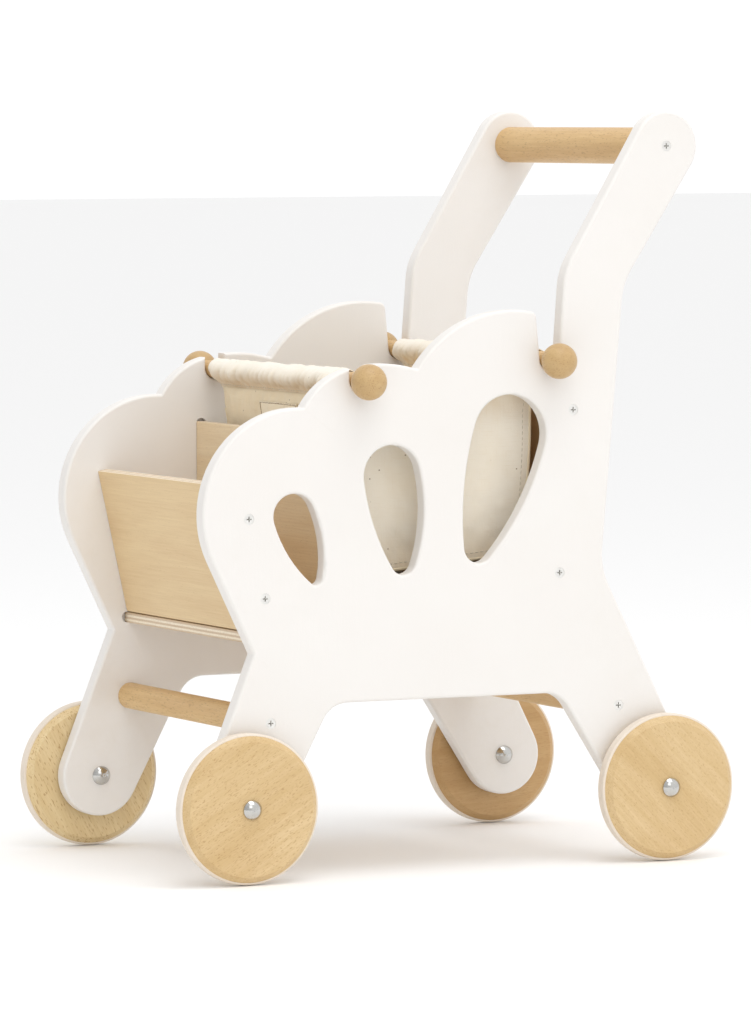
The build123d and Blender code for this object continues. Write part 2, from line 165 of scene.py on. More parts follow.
def plywood(name, turn, through, face, streaky, dark=(0.47, 0.31, 0.17)):
    """Birch plywood: figured face along X, and layers where the surface turns away from through,
    the board's thickness direction, which turn brings to the local Z axis."""
    s = Shader(name)
    coords = s.node("TexCoord")
    figure = s.noise(s.place(turn, (5, 36, 36)), 1, 4, 0.6, 1.2)
    fibre = s.noise(s.place(turn, (26, 900, 900)), 1, 3, 0.6)
    pores = s.noise(s.place(turn, (260, 1700, 1700)), 1, 1, 0.5)
    color = s.mix(s.span(figure, 0.35, 0.68, 0, 0.8), face, streaky)
    color = s.mix(s.span(fibre, 0.3, 0.75, 0, 0.2), color, dark)
    color = s.mix(s.span(pores, 0.66, 0.74, 0, 0.3), color, dark)
    facing = s.dot(coords.outputs["Normal"], through)
    edge = s.span(s.math("ABSOLUTE", facing), 0.75, 0.45)
    depth = s.dot(coords.outputs["Object"], through)
    wobble = s.math("MULTIPLY", s.noise(s.place(turn, (30, 30, 30)), 1, 2, 0.5), 0.0004)
    layer = s.math("FRACT", s.math("MULTIPLY", s.math("ADD", depth, wobble), 1 / (2.8 * MM)))
    band = s.math("MULTIPLY", s.span(layer, 0.44, 0.52), s.span(layer, 1.0, 0.92))
    ply = s.mix(s.math("MULTIPLY", band, 0.62), (0.88, 0.77, 0.60), (0.50, 0.33, 0.19))
    end_grain = s.noise(s.place(turn, (700, 700, 1400)), 1, 2, 0.6)
    ply = s.mix(s.span(end_grain, 0.45, 0.75, 0, 0.3), ply, (0.34, 0.21, 0.12))
    color = s.mix(edge, color, ply)
    normal = s.bump(s.math("ADD", fibre, s.math("MULTIPLY", band, edge)), 0.2, 0.0003)
    return s.finish(color, s.span(fibre, 0.3, 0.7, 0.45, 0.58), normal, Specular_IOR_Level=0.4)


def rubber():
    s = Shader("cream_rubber")
    place = s.place()
    mottled = s.noise(place, 260, 4, 0.65)
    cloud = s.noise(place, 30, 3, 0.6)
    color = s.mix(s.span(cloud, 0.3, 0.7), (0.82, 0.735, 0.635), (0.76, 0.67, 0.565))
    color = s.mix(s.span(mottled, 0.55, 0.75, 0, 0.25), color, (0.55, 0.47, 0.36))
    return s.finish(color, s.span(mottled, 0.3, 0.7, 0.62, 0.78), s.bump(mottled, 0.25, 0.0003),
                    Specular_IOR_Level=0.35)


def metal(name, color, rough, scratch):
    s = Shader(name)
    lines = s.noise(s.place((0.4, 0.2, 0.7), (300, 5200, 5200)), 1, 2, 0.6)
    haze = s.noise(s.place(), 240, 3, 0.6)
    tone = s.mix(s.span(haze, 0.35, 0.7, 0, 0.5), color, tuple(0.8 * c for c in color))
    roughness = s.span(lines, 0.3, 0.7, rough, rough + scratch)
    return s.finish(tone, roughness, s.bump(lines, 0.08, 0.0001), Metallic=1.0)


def shade(color, by):
    return tuple(c * k for c, k in zip(color, by))


def calico(name, tint, speck=1.0, crown=0.0, band=(6 * MM, 19 * MM)):
    """Unbleached plain-weave cotton with slubs and seed flecks. With crown, it gets painted shade, darker
    and browner away from that flat Y, between the two distances in band."""
    s = Shader(name)
    flat = s.flat()
    jitter = s.noise(s.flat((90, 90, 1)), 1, 2, 0.5)
    wander = s.math("MULTIPLY", s.math("SUBTRACT", jitter, 0.5), 0.0006)
    warped = s.node("VectorMath", {0: flat, 1: s.node("CombineXYZ", {0: wander, 1: wander}).outputs[0]},
                    operation="ADD").outputs[0]
    axes = s.node("SeparateXYZ", {0: warped})
    pitch = 2 * math.pi / (0.85 * MM)
    warp = s.math("SINE", s.math("MULTIPLY", axes.outputs[0], pitch))
    weft = s.math("SINE", s.math("MULTIPLY", axes.outputs[1], pitch))
    weave = s.math("MULTIPLY", warp, weft)
    slub_a = s.noise(s.flat((60, 1700, 1)), 1, 2, 0.6)
    slub_b = s.noise(s.flat((1700, 60, 1)), 1, 2, 0.6)
    slub = s.math("MAXIMUM", s.span(slub_a, 0.56, 0.72), s.span(slub_b, 0.58, 0.74))
    cloud = s.noise(s.flat((26, 26, 1)), 1, 3, 0.6)
    color = s.mix(s.span(cloud, 0.35, 0.7, 0, 0.55), tint, shade(tint, (0.95, 0.91, 0.84)))
    color = s.mix(s.math("MULTIPLY", slub, 0.30), color, shade(tint, (0.88, 0.80, 0.68)))
    color = s.mix(s.span(weave, -1, 1, 0, 0.16), color, shade(tint, (0.80, 0.73, 0.62)))
    cells = s.node("TexVoronoi", {"Vector": s.flat((155, 155, 1)), "Scale": 1.0})
    spot = s.span(cells.outputs["Distance"], 0.11, 0.05)
    chosen = s.node("SeparateColor", {0: cells.outputs["Color"]}).outputs[0]
    spot = s.math("MULTIPLY", spot, s.span(chosen, 0.72, 0.78))
    color = s.mix(s.math("MULTIPLY", spot, 0.55 * speck), color, (0.30, 0.20, 0.11))
    # painted shade: darker and browner away from crown, in uneven patches
    if crown:
        away = s.math("ABSOLUTE", s.math("SUBTRACT", axes.outputs[1], crown))
        patchy_shade = s.span(s.noise(s.flat((120, 45, 1)), 1, 3, 0.6), 0.3, 0.7, 0.45, 1.0)
        under = s.math("MULTIPLY", s.span(away, *band), patchy_shade)
        color = s.mix(under, color, shade(tint, (0.80, 0.65, 0.46)))
    height = s.math("ADD", s.math("MULTIPLY", weave, 0.5), s.math("MULTIPLY", slub, 0.8))
    normal = s.bump(height, 0.32, 0.0002)
    crumple = s.noise(s.flat((130, 130, 1)), 1, 4, 0.6)
    normal = s.bump(crumple, 0.28, 0.0016, normal)
    return s.finish(color, 0.86, normal, Specular_IOR_Level=0.2, Sheen_Weight=0.25, Sheen_Roughness=0.5)


def thread(name, tint):
    s = Shader(name)
    twist = s.noise(s.place((0.3, 0.5, 0.2), (2400, 2400, 2400)), 1, 2, 0.6)
    color = s.mix(s.span(twist, 0.35, 0.65), tint, tuple(0.8 * c for c in tint))
    return s.finish(color, 0.7, s.bump(twist, 0.4, 0.0002), Sheen_Weight=0.2)


def wear(obj, material):
    """Gives a CAD node its finish."""
    if obj.material_slots:
        for slot in obj.material_slots:
            slot.material = material
    else:
        obj.data.materials.append(material)


# ------------------------------------------------------------------ finishes for the CAD nodes
WHEEL_LIGHT, WHEEL_DARK, WHEEL_FLECK = (0.755, 0.575, 0.325), (0.63, 0.445, 0.215), (0.44, 0.25, 0.10)
BAR_LIGHT, BAR_DARK, BAR_FLECK = (0.755, 0.525, 0.25), (0.61, 0.39, 0.17), (0.40, 0.23, 0.095)
BALL_LIGHT, BALL_DARK = (0.585, 0.405, 0.195), (0.50, 0.325, 0.145)
LEAN_FRONT = math.radians(12.3)
LEAN_BACK = math.radians(-5.4)

painted = paint()
for side in ("left", "right"):
    wear(NODES["side_panel_" + side], painted)

bar = wood("beech_bar", (0, 0, 0), BAR_LIGHT, BAR_DARK, BAR_FLECK, 0.8, 0.44, 0.8)
for node in ("handle_bar", "front_stretcher", "rear_stretcher", "bag_dowel_front", "bag_dowel_rear"):
    wear(NODES[node], bar)
for i, node in enumerate(("ball_front_left", "ball_rear_left", "ball_front_right", "ball_rear_right")):
    wear(NODES[node], wood("turned_" + node, (0.5 + 0.9 * i, 0.3 * i, 0.7 - 0.5 * i), BALL_LIGHT, BALL_DARK,
                           BAR_FLECK, 0.75, 0.36, 0.9, (0.1 * i, 0, 0), 130))

# grain direction of each disc in degrees, a factor on its wood colour (above 1 on the far front wheel as
# painted light, below 1 on the far rear wheel as painted shade, 1 on the near wheels), and how large and
# strong its flecks are
DISCS = {"wheel_front_left": (-30, 1.0, 0.65, 0.95), "wheel_rear_left": (45, 1.0, 0.62, 0.9),
         "wheel_front_right": (62, 1.13, 1.15, 1.1), "wheel_rear_right": (-4, 0.80, 0.8, 0.8)}


def deeper(color, k):
    """Darker and redder for k below 1."""
    return (color[0] * k, color[1] * k ** 1.6, color[2] * k ** 2.2)


for i, (node, (angle, k, fleck_size, flecks)) in enumerate(DISCS.items()):
    # Y is turned to the grain's direction, and then swapped with X by a quarter turn about Z
    first = Matrix.Rotation(math.radians(angle), 3, "X")
    second = Matrix.Rotation(math.radians(-90), 3, "Z")
    euler = (second @ first).to_euler("XYZ")
    wear(NODES[node], wood("disc_" + node, tuple(euler), deeper(WHEEL_LIGHT, k), deeper(WHEEL_DARK, k),
                           WHEEL_FLECK, 1.0, 0.5, flecks, (0.07 * i, 0.03 * i, 0.01 * i), 70, fleck_size))

# lean, face colour and streak colour of each plywood board; the divider's colours are paler as painted light
# and the back board's darker and redder as painted shade
BOARDS = {
    "front_board": (LEAN_FRONT, (0.76, 0.575, 0.325), (0.69, 0.49, 0.265)),
    "back_board": (LEAN_BACK, (0.62, 0.41, 0.215), (0.54, 0.335, 0.16)),
    "divider_board": (0.0, (0.90, 0.755, 0.525), (0.84, 0.66, 0.42)),
    "floor_board": (None, (0.70, 0.53, 0.33), (0.62, 0.45, 0.265)),
}
for node, (lean, face, streaky) in BOARDS.items():
    through = (0, 0, 1) if lean is None else (0, math.cos(lean), math.sin(lean))
    turn = (0, 0, 0) if lean is None else (math.pi / 2 - lean, 0, 0)
    wear(NODES[node], plywood("ply_" + node, turn, through, face, streaky))

tyre_material = rubber()
pin_steel = metal("drawn_steel", (0.62, 0.62, 0.61), 0.24, 0.16)
cap_chrome = metal("domed_chrome", (0.58, 0.575, 0.555), 0.10, 0.10)
screw_zinc = metal("zinc_screw", (0.84, 0.83, 0.80), 0.34, 0.18)
for node, obj in NODES.items():
    if node.startswith("tyre_"):
        wear(obj, tyre_material)
    elif node.startswith("axle_pin") or node == "axle_washers":
        wear(obj, pin_steel)
    elif node.startswith("axle_caps"):
        wear(obj, cap_chrome)
    elif node.endswith("_screws"):
        wear(obj, screw_zinc)

# ------------------------------------------------------------------ the canvas carrier
SIDE_MIDDLE_Z = 0.262           # the side walls' cloth gets painted shade above and below this height
SLEEVE_CROWN = 32.5 * MM        # along a sleeve's section, to its top; the sleeve's cloth gets painted shade away from it
CLOTH = calico("calico_body", (0.90, 0.785, 0.58))
# the side walls' calico is paler than the body's as painted light
SIDE_CLOTH = calico("calico_side_painted_light_and_shade", (0.95, 0.885, 0.765), 1.6, SIDE_MIDDLE_Z, (34 * MM, 76 * MM))
SLEEVE_CLOTH = calico("calico_sleeve_painted_shade", (0.93, 0.885, 0.795), 1.0, SLEEVE_CROWN)
LABEL_CLOTH = calico("label_tape", (0.94, 0.84, 0.65), 0.0)
THREAD = thread("cotton_thread", (0.74, 0.66, 0.52))
BROWN_THREAD = thread("brown_thread", (0.36, 0.24, 0.13))
SHEET_T = 0.8 * MM
SLEEVE_T = 0.7 * MM
LABEL_T = 0.6 * MM


def centre(node):
    low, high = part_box(node)
    return (Vector(low) + Vector(high)) / 2


FRONT = centre("bag_dowel_front")
REAR = centre("bag_dowel_rear")
HALF_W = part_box("bag_base")[1][0] - SHEET_T
SLEEVE_HALF_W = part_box("bag_sleeve_front")[1][0]
DOWEL_R = (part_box("bag_dowel_front")[1][2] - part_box("bag_dowel_front")[0][2]) / 2
DROP = FRONT.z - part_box("bag_front")[0][2]
TUCK = 7.5 * MM
HEM_OVER = 8.0 * MM             # wall over the sleeve's hem
WALL_OUT = 1.85 * MM            # wall clear of the hem there
WALL_CORNER = 15.0 * MM         # reach of the soft corners at the foot
WALL_BELLY = 2.6 * MM           # outward bow, mid-width and at the rear wall's sides
REAR_BELLY = 3.0 * MM
BASE_SAG = 2.0 * MM             # sag of the base, whole and further in the middle
BASE_SAG_MIDDLE = 3.6 * MM
SIDE_SLACK = 3.0 * MM           # how far a side wall hangs inward
SIDE_DIP = 1.6 * MM             # dip of its free top edge
SLEEVE_EASE = 1.2 * MM          # cloth clear of the dowel
HEM_LAYER = 0.95 * MM           # middle of each hem layer from the wall's middle
HEM_STITCH = 9.5 * MM           # the hem closes this far above its lower edge
STITCH_ROW = 9.4 * MM           # the row of stitches, above the same edge
SLEEVE_PUFF = 3.1 * MM          # fullness below the dowel
LABEL_RISE = 1.15 * MM
LABEL_CORNER_LIFT = 0.9 * MM
HEM_L = FRONT.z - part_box("bag_sleeve_front")[0][2]      # dowel centre to the hem's lower edge


def smooth(low, high, x):
    t = np.clip((x - low) / (high - low), 0, 1)
    return t * t * (3 - 2 * t)


def ripple(seed, *coords):
    """Smooth noise from -1 to 1 at each point."""
    arrays = np.broadcast_arrays(*coords)
    flat = np.stack([a.ravel() for a in arrays] + [np.zeros(arrays[0].size)] * (3 - len(arrays)), axis=1)
    values = [noise.noise(Vector((p[0] + seed * 17.3, p[1] - seed * 5.1, p[2] + seed * 3.7))) for p in flat]
    return np.array(values).reshape(arrays[0].shape)


def make_piece(name, points, flat, material, thickness=SHEET_T, offset=0.0, loops=(False, False)):
    """Sheet from a grid of points, thickened to both sides, with its flat coordinates kept."""
    nu, nv = points.shape[:2]
    faces = []
    for i in range(nu if loops[0] else nu - 1):
        for j in range(nv if loops[1] else nv - 1):
            a, b = (i + 1) % nu, (j + 1) % nv
            faces.append((i * nv + j, a * nv + j, a * nv + b, i * nv + b))
    mesh = bpy.data.meshes.new(name)
    mesh.from_pydata(points.reshape(-1, 3).tolist(), [], faces)
    attribute = mesh.attributes.new("flat", "FLOAT_VECTOR", "POINT")
    attribute.data.foreach_set("vector", np.concatenate(
        [flat.reshape(-1, 2), np.zeros((nu * nv, 1))], axis=1).astype(np.float32).ravel())
    mesh.shade_smooth()
    obj = bpy.data.objects.new(name, mesh)
    bpy.context.scene.collection.objects.link(obj)
    mesh.materials.append(material)
    if thickness:
        solid = obj.modifiers.new("thickness", "SOLIDIFY")
        solid.thickness = thickness
        solid.offset = offset
        solid.use_even_offset = True
    return obj


def resample(line, count):
    """count points along the polyline, equally spaced, with each one's distance along it."""
    step = np.linalg.norm(np.diff(line, axis=0), axis=1)
    along = np.concatenate([[0], np.cumsum(step)])
    at = np.linspace(0, along[-1], count)
    return np.stack([np.interp(at, along, line[:, k]) for k in range(line.shape[1])], axis=1), at


def bend(corner, before, after, reach, count=9):
    """Points round a soft corner."""
    a = corner + (before - corner) * reach / np.linalg.norm(before - corner)
    b = corner + (after - corner) * reach / np.linalg.norm(after - corner)
    t = np.linspace(0, 1, count)[:, None]
    return (1 - t) ** 2 * a + 2 * t * (1 - t) * corner + t ** 2 * b


def yz(v):
    return np.array([v.y, v.z])


def walls():
    """(y, z) of the strip that makes the front wall, the base and the rear wall."""
    front, rear = yz(FRONT), yz(REAR)
    front_foot = front + np.array([TUCK, -DROP])
    rear_foot = rear + np.array([-TUCK, -DROP])
    tops = []
    for at, foot in ((front, front_foot), (rear, rear_foot)):
        d = (foot - at) / np.linalg.norm(foot - at)
        tops.append(at + d * (HEM_L - HEM_OVER))
    line = [tops[0][None]]
    line.append(bend(front_foot, tops[0], rear_foot, WALL_CORNER))
    line.append(bend(rear_foot, front_foot, tops[1], WALL_CORNER))
    line.append(tops[1][None])
    return np.concatenate(line), front_foot, rear_foot


def strip_shape(count_s=190, count_x=110):
    line = walls()[0]
    path, along = resample(line, count_s)
    tangent = np.gradient(path, axis=0)
    tangent /= np.linalg.norm(tangent, axis=1)[:, None]
    out = np.stack([tangent[:, 1], -tangent[:, 0]], axis=1)
    length = along[-1]
    x = np.linspace(-1, 1, count_x)
    s = along[:, None] / length
    down = np.minimum(along, length - along)[:, None]
    edge = 1 - np.abs(x)[None, :] ** 2.5
    wall = np.linalg.norm(path[np.argmin(np.abs(along - length * 0.3))] - path[0])
    base_w = smooth(0.33, 0.40, s) * smooth(0.67, 0.60, s)
    rear_side = (s > 0.5) * 1.0
    bow = np.sin(np.pi * np.clip(down / (wall * 1.02), 0, 1)) * (1 - base_w)
    belly = bow * (WALL_BELLY * edge + REAR_BELLY * rear_side * (1 - edge))
    sag = BASE_SAG * base_w + BASE_SAG_MIDDLE * base_w * edge
    flush = WALL_OUT * smooth(26 * MM, 9 * MM, down)
    xs = x[None, :] * HALF_W
    near_hem = np.exp(-down / (22 * MM)) * smooth(-2 * MM, 5 * MM, down)
    pleat = (1 - np.abs(ripple(5, (xs + 0.5 * down) * 150, down * 12, rear_side * 9 + 0 * xs))) ** 6
    coarse = ripple(1, xs * 95 + 0 * s, down * 6, rear_side * 9 + 0 * xs)
    gathers = near_hem * (0.8 * MM + 1.9 * MM * pleat + 2.3 * MM * coarse
                          + 0.7 * MM * ripple(2, xs * 210 + 0 * s, down * 9, rear_side * 5 + 0 * xs))
    slanted = ripple(3, (xs + 0.55 * down) * 34, down * 9 + 0 * xs, s * 2 + 0 * xs)
    drag = 1.5 * MM * slanted * smooth(0, 0.03, down)
    fine = 0.45 * MM * ripple(4, xs * 120 + 0 * s, along[:, None] * 110 + 0 * xs)
    folds = (gathers + drag * (1 - 0.4 * base_w) + fine) * smooth(0, 0.1, edge)
    lift = (belly + sag + folds) * smooth(-2 * MM, 7 * MM, down) + flush
    pull = 1 - 0.012 * np.sin(np.pi * s) ** 2 * np.ones_like(xs)
    points = np.empty((count_s, count_x, 3))
    points[..., 0] = xs * pull
    points[..., 1] = path[:, 0][:, None] + out[:, 0][:, None] * lift
    points[..., 2] = path[:, 1][:, None] + out[:, 1][:, None] * lift
    flat = np.stack([np.broadcast_to(xs, lift.shape), np.broadcast_to(along[:, None], lift.shape)], axis=-1)
    return points, flat, length


def gusset_shape(side, strip, count_u=96, count_v=90):
    """Side wall: a patch between the strip's edge and a free top edge."""
    rim = strip[:, -1 if side > 0 else 0]
    total = rim.shape[0]
    top_skip = 1
    a = int(total * 0.335)
    b = total - a
    front, base, rear = rim[top_skip:a + 1], rim[a:b + 1], rim[b:total - top_skip][::-1]
    front = resample(front, count_v)[0]
    rear = resample(rear, count_v)[0]
    base = resample(base, count_u)[0]
    u = np.linspace(0, 1, count_u)[:, None]
    v = np.linspace(0, 1, count_v)[None, :]
    top = front[0] * (1 - u) + rear[0] * u
    top[:, 2] -= SIDE_DIP * np.sin(np.pi * u[:, 0])
    patch = ((1 - u)[..., None] * front[None] + u[..., None] * rear[None]
             + (1 - v)[..., None] * top[:, None] + v[..., None] * base[:, None]
             - ((1 - u) * (1 - v))[..., None] * front[0] - (u * (1 - v))[..., None] * rear[0]
             - ((1 - u) * v)[..., None] * front[-1] - (u * v)[..., None] * rear[-1])
    held = smooth(0, 0.12, u) * smooth(1, 0.88, u) * smooth(1, 0.86, v)
    y, z = patch[..., 1], patch[..., 2]
    slack = -SIDE_SLACK * np.sin(np.pi * u) * smooth(0, 0.5, v)
    folds = (1.9 * MM * ripple(6 + side, y * 26, z * 9)
             + 0.9 * MM * ripple(8 + side, (y + 0.5 * z) * 55, z * 20))
    tiny = 0.4 * MM * ripple(10 + side, y * 130, z * 130)
    rippled_top = 1.2 * MM * ripple(12 + side, y * 45, z * 0) * smooth(0.35, 0.0, v)
    patch[..., 0] += side * held * (slack + folds + tiny + rippled_top)
    flat = np.stack([y, z], axis=-1)
    return patch, flat


def tube_mesh(name, line, radius, material, sides=8, squash=1.0):
    """Closed tube of the given radius along a line of points."""
    line = np.asarray(line)
    tangent = np.gradient(line, axis=0)
    tangent /= np.linalg.norm(tangent, axis=1)[:, None]
    up = np.tile(np.array([1.0, 0.0, 0.0]), (len(line), 1))
    across = np.cross(tangent, up)
    across /= np.linalg.norm(across, axis=1)[:, None]
    angles = np.linspace(0, 2 * math.pi, sides, endpoint=False)
    ring = (np.cos(angles)[None, :, None] * up[:, None] * squash
            + np.sin(angles)[None, :, None] * across[:, None])
    points = line[:, None] + ring * radius
    count = len(line)
    faces = []
    for i in range(count - 1):
        for j in range(sides):
            k = (j + 1) % sides
            faces.append((i * sides + j, i * sides + k, (i + 1) * sides + k, (i + 1) * sides + j))
    faces.append(tuple(range(sides))[::-1])
    faces.append(tuple((count - 1) * sides + j for j in range(sides)))
    mesh = bpy.data.meshes.new(name)
    mesh.from_pydata(points.reshape(-1, 3).tolist(), [], faces)
    step = np.concatenate([[0], np.cumsum(np.linalg.norm(np.diff(line, axis=0), axis=1))])
    girth = np.tile(angles * radius, count)
    flat = np.stack([np.repeat(step, sides), girth, np.zeros(count * sides)], axis=1)
    attribute = mesh.attributes.new("flat", "FLOAT_VECTOR", "POINT")
    attribute.data.foreach_set("vector", flat.astype(np.float32).ravel())
    mesh.shade_smooth()
    mesh.materials.append(material)
    obj = bpy.data.objects.new(name, mesh)
    bpy.context.scene.collection.objects.link(obj)
    return obj


def stitches(name, line, normals, material, length=2.6 * MM, gap=1.2 * MM, radius=0.28 * MM, sink=0.1 * MM):
    """A row of sewn stitches: short rounded threads lying on the cloth along a line."""
    line = np.asarray(line)
    normals = np.asarray(normals)
    step = np.concatenate([[0], np.cumsum(np.linalg.norm(np.diff(line, axis=0), axis=1))])

    def at(distance, array):
        return np.array([np.interp(distance, step, array[:, k]) for k in range(3)])
    verts, faces = [], []
    rings, sides = 5, 6
    start = gap
    while start + length < step[-1] - gap:
        for r in range(rings):
            t = r / (rings - 1)
            point = at(start + t * length, line)
            normal = at(start + t * length, normals)
            normal /= np.linalg.norm(normal)
            ahead = (at(min(start + t * length + 0.3 * MM, step[-1]), line)
                     - at(start + t * length - 0.3 * MM, line))
            ahead /= np.linalg.norm(ahead)
            across = np.cross(ahead, normal)
            swell = math.sin(math.pi * (0.12 + 0.76 * t))
            middle = point + normal * (radius * swell - sink)
            for j in range(sides):
                a = 2 * math.pi * j / sides
                verts.append(middle + radius * swell * (math.cos(a) * across + math.sin(a) * normal))
        first = len(verts) - rings * sides
        for r in range(rings - 1):
            for j in range(sides):
                k = (j + 1) % sides
                p = first + r * sides
                faces.append((p + j, p + k, p + sides + k, p + sides + j))
        faces.append(tuple(first + j for j in range(sides))[::-1])
        faces.append(tuple(first + (rings - 1) * sides + j for j in range(sides)))
        start += length + gap
    mesh = bpy.data.meshes.new(name)
    mesh.from_pydata([tuple(v) for v in verts], [], faces)
    mesh.shade_smooth()
    mesh.materials.append(material)
    obj = bpy.data.objects.new(name, mesh)
    bpy.context.scene.collection.objects.link(obj)
    return obj


def grid_normals(points):
    du = np.gradient(points, axis=0)
    dv = np.gradient(points, axis=1)
    n = np.cross(du, dv)
    return n / np.maximum(np.linalg.norm(n, axis=-1, keepdims=True), 1e-12)


def sleeve_shape(at, foot, seed, count_x=220, count_a=84):
    """Cloth round a dowel, closing to a stitched hem that points to the wall's foot."""
    d = (foot - at) / np.linalg.norm(foot - at)
    n = np.array([-d[1], d[0]])
    if n[0] > 0:
        n = -n                                    # towards the front
    loop_r = DOWEL_R + SLEEVE_EASE
    layer = HEM_LAYER
    hem_stitch = HEM_L - HEM_STITCH
    half_gap = math.acos(min(1.0, loop_r / (hem_stitch * 1.02)))
    arc = np.linspace(half_gap, 2 * math.pi - half_gap, 54)
    section = [at + d * hem_y + n * layer for hem_y in np.linspace(HEM_L, hem_stitch, 14)]
    for a in arc:
        section.append(at + loop_r * (math.cos(a) * d + math.sin(a) * n))
    section += [at + d * hem_y - n * layer for hem_y in np.linspace(hem_stitch, HEM_L, 14)]
    path, along = resample(np.array(section), count_a)
    tangent = np.gradient(path, axis=0)
    tangent /= np.linalg.norm(tangent, axis=1)[:, None]
    out = np.stack([-tangent[:, 1], tangent[:, 0]], axis=1)
    middle = path.mean(axis=0)
    if np.sum((path[count_a // 2] - middle) * out[count_a // 2]) < 0:
        out = -out
    x = np.linspace(-1, 1, count_x)[None, :]
    xs = x * SLEEVE_HALF_W
    depth = ((path - at) @ d)[:, None]            # below the dowel's centre
    over_top = smooth(2 * MM, -loop_r, depth)
    waist = np.exp(-((depth - hem_stitch) / (5.5 * MM)) ** 2)
    side = np.sign((path - at) @ n)[:, None]
    slant = xs + 0.35 * depth * side
    steep = xs + 0.8 * depth * side
    ridges = (1.7 * ripple(seed, slant * 105, depth * 25 + side * 3)
              + 1.1 * ripple(seed + 1, steep * 200, depth * 40 + side * 5)
              + 0.5 * ripple(seed + 2, slant * 390, depth * 60 + side * 7)) * MM
    pulled = (1 - np.abs(ripple(seed + 7, steep * 95, depth * 12 + side * 4))) ** 6
    pinched = (1 - np.abs(ripple(seed + 8, slant * 170, depth * 16 + side * 4))) ** 6
    ridges = 1.25 * ridges - (2.6 * pulled + 1.8 * pinched) * MM * smooth(-6 * MM, 3 * MM, depth)
    loose = smooth(hem_stitch + 1 * MM, hem_stitch - 5 * MM, depth)
    puff = (SLEEVE_PUFF * np.exp(-((depth - 1 * MM) / (6 * MM)) ** 2)
            * (1 + 0.5 * ripple(seed + 3, xs * 40, side)))
    lift = loose * (np.maximum(ridges + puff, -0.1 * MM) * (1 - 0.55 * over_top)) + 0.1 * MM * waist
    lift = lift + (1 - loose) * 0.35 * MM * (1 + ripple(seed + 4, xs * 150, depth * 30 + side * 4))
    points = np.empty((count_a, count_x, 3))
    drift = 0.6 * MM * ripple(seed + 5, x * 3, 0 * x) * smooth(1, 0.94, np.abs(x))
    drawn = 1 - (1 - HALF_W / SLEEVE_HALF_W) * smooth(1 * MM, HEM_L, depth)
    ragged = (np.sign(x) * 1.6 * MM * smooth(0.9, 1.0, np.abs(x))
              * (0.5 + 0.5 * ripple(seed + 6, depth * 90, side)))
    points[..., 0] = xs * drawn - ragged
    points[..., 1] = path[:, 0][:, None] + out[:, 0][:, None] * lift
    points[..., 2] = path[:, 1][:, None] + out[:, 1][:, None] * lift + drift * 0.5
    flat = np.stack([np.broadcast_to(xs, lift.shape), np.broadcast_to(along[:, None], lift.shape)], axis=-1)
    return points, flat, along[-1]


strip, strip_flat, strip_length = strip_shape()
strip_normals = grid_normals(strip)
FRONT_FOOT, REAR_FOOT = walls()[1:]
if (strip_normals[strip.shape[0] // 2, strip.shape[1] // 2][2]) > 0:
    strip_normals = -strip_normals                # outward, so down under the base

main = make_piece("bag_walls_and_base", strip, strip_flat, CLOTH)
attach(main, "carrier")
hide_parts("bag_front", "bag_rear", "bag_base")

for side, word in ((1, "left"), (-1, "right")):
    patch, patch_flat = gusset_shape(side, strip)
    piece = make_piece("bag_side_" + word, patch, patch_flat, SIDE_CLOTH)
    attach(piece, "carrier")
    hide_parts("bag_gusset_" + word)
    rim = strip[:, -1 if side > 0 else 0]
    welt = tube_mesh("bag_welt_" + word, rim[8:-8], 1.15 * MM, CLOTH, 10, 0.8)
    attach(welt, "carrier")
    # topstitching on the side wall, just inside the welt, and along the folded top edge
    u, v = patch.shape[:2]
    normals = grid_normals(patch)
    if normals[u // 2, v // 2, 0] * side < 0:
        normals = -normals
    inset_u, inset_v = 4, 4
    around = ([(inset_u, j) for j in range(3, v - inset_v)]
              + [(i, v - 1 - inset_v) for i in range(inset_u, u - inset_u)]
              + [(u - 1 - inset_u, j) for j in range(v - 1 - inset_v, 2, -1)])
    row = np.array([patch[i, j] + normals[i, j] * SHEET_T / 2 for i, j in around])
    row_n = np.array([normals[i, j] for i, j in around])
    seam = stitches("bag_side_stitches_" + word, row, row_n, THREAD)
    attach(seam, "carrier")
    top_row = np.array([patch[i, 5] + normals[i, 5] * SHEET_T / 2 for i in range(2, u - 2)])
    top_n = np.array([normals[i, 5] for i in range(2, u - 2)])
    hem = stitches("bag_side_hem_stitches_" + word, top_row, top_n, THREAD)
    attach(hem, "carrier")

for end, at, foot, seed in (("front", FRONT, FRONT_FOOT, 21), ("rear", REAR, REAR_FOOT, 41)):
    points, flat, width = sleeve_shape(yz(at), foot, seed)
    piece = make_piece("bag_sleeve_cloth_" + end, points, flat, SLEEVE_CLOTH, SLEEVE_T)
    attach(piece, "carrier")
    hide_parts("bag_sleeve_" + end)
    normals = grid_normals(points)
    if normals[points.shape[0] // 2, points.shape[1] // 2][2] < 0:
        normals = -normals
    d = (foot - yz(at)) / np.linalg.norm(foot - yz(at))
    depth = (points[:, points.shape[1] // 2, 1:] - yz(at)) @ d
    half = len(depth) // 2
    for label, band in (("a", slice(0, half)), ("b", slice(half, len(depth)))):
        k = band.start + int(np.argmin(np.abs(depth[band] - (HEM_L - STITCH_ROW))))
        line = points[k] + normals[k] * (SLEEVE_T / 2)
        row = stitches(f"bag_sleeve_stitches_{end}_{label}", line, normals[k], THREAD)
        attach(row, "carrier")

# ------------------------------------------------------------------ blank label on the front wall
low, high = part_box("bag_label")
LABEL_W = high[0] - low[0]
LABEL_TOP = high[2]
LABEL_H = high[2] - low[2]


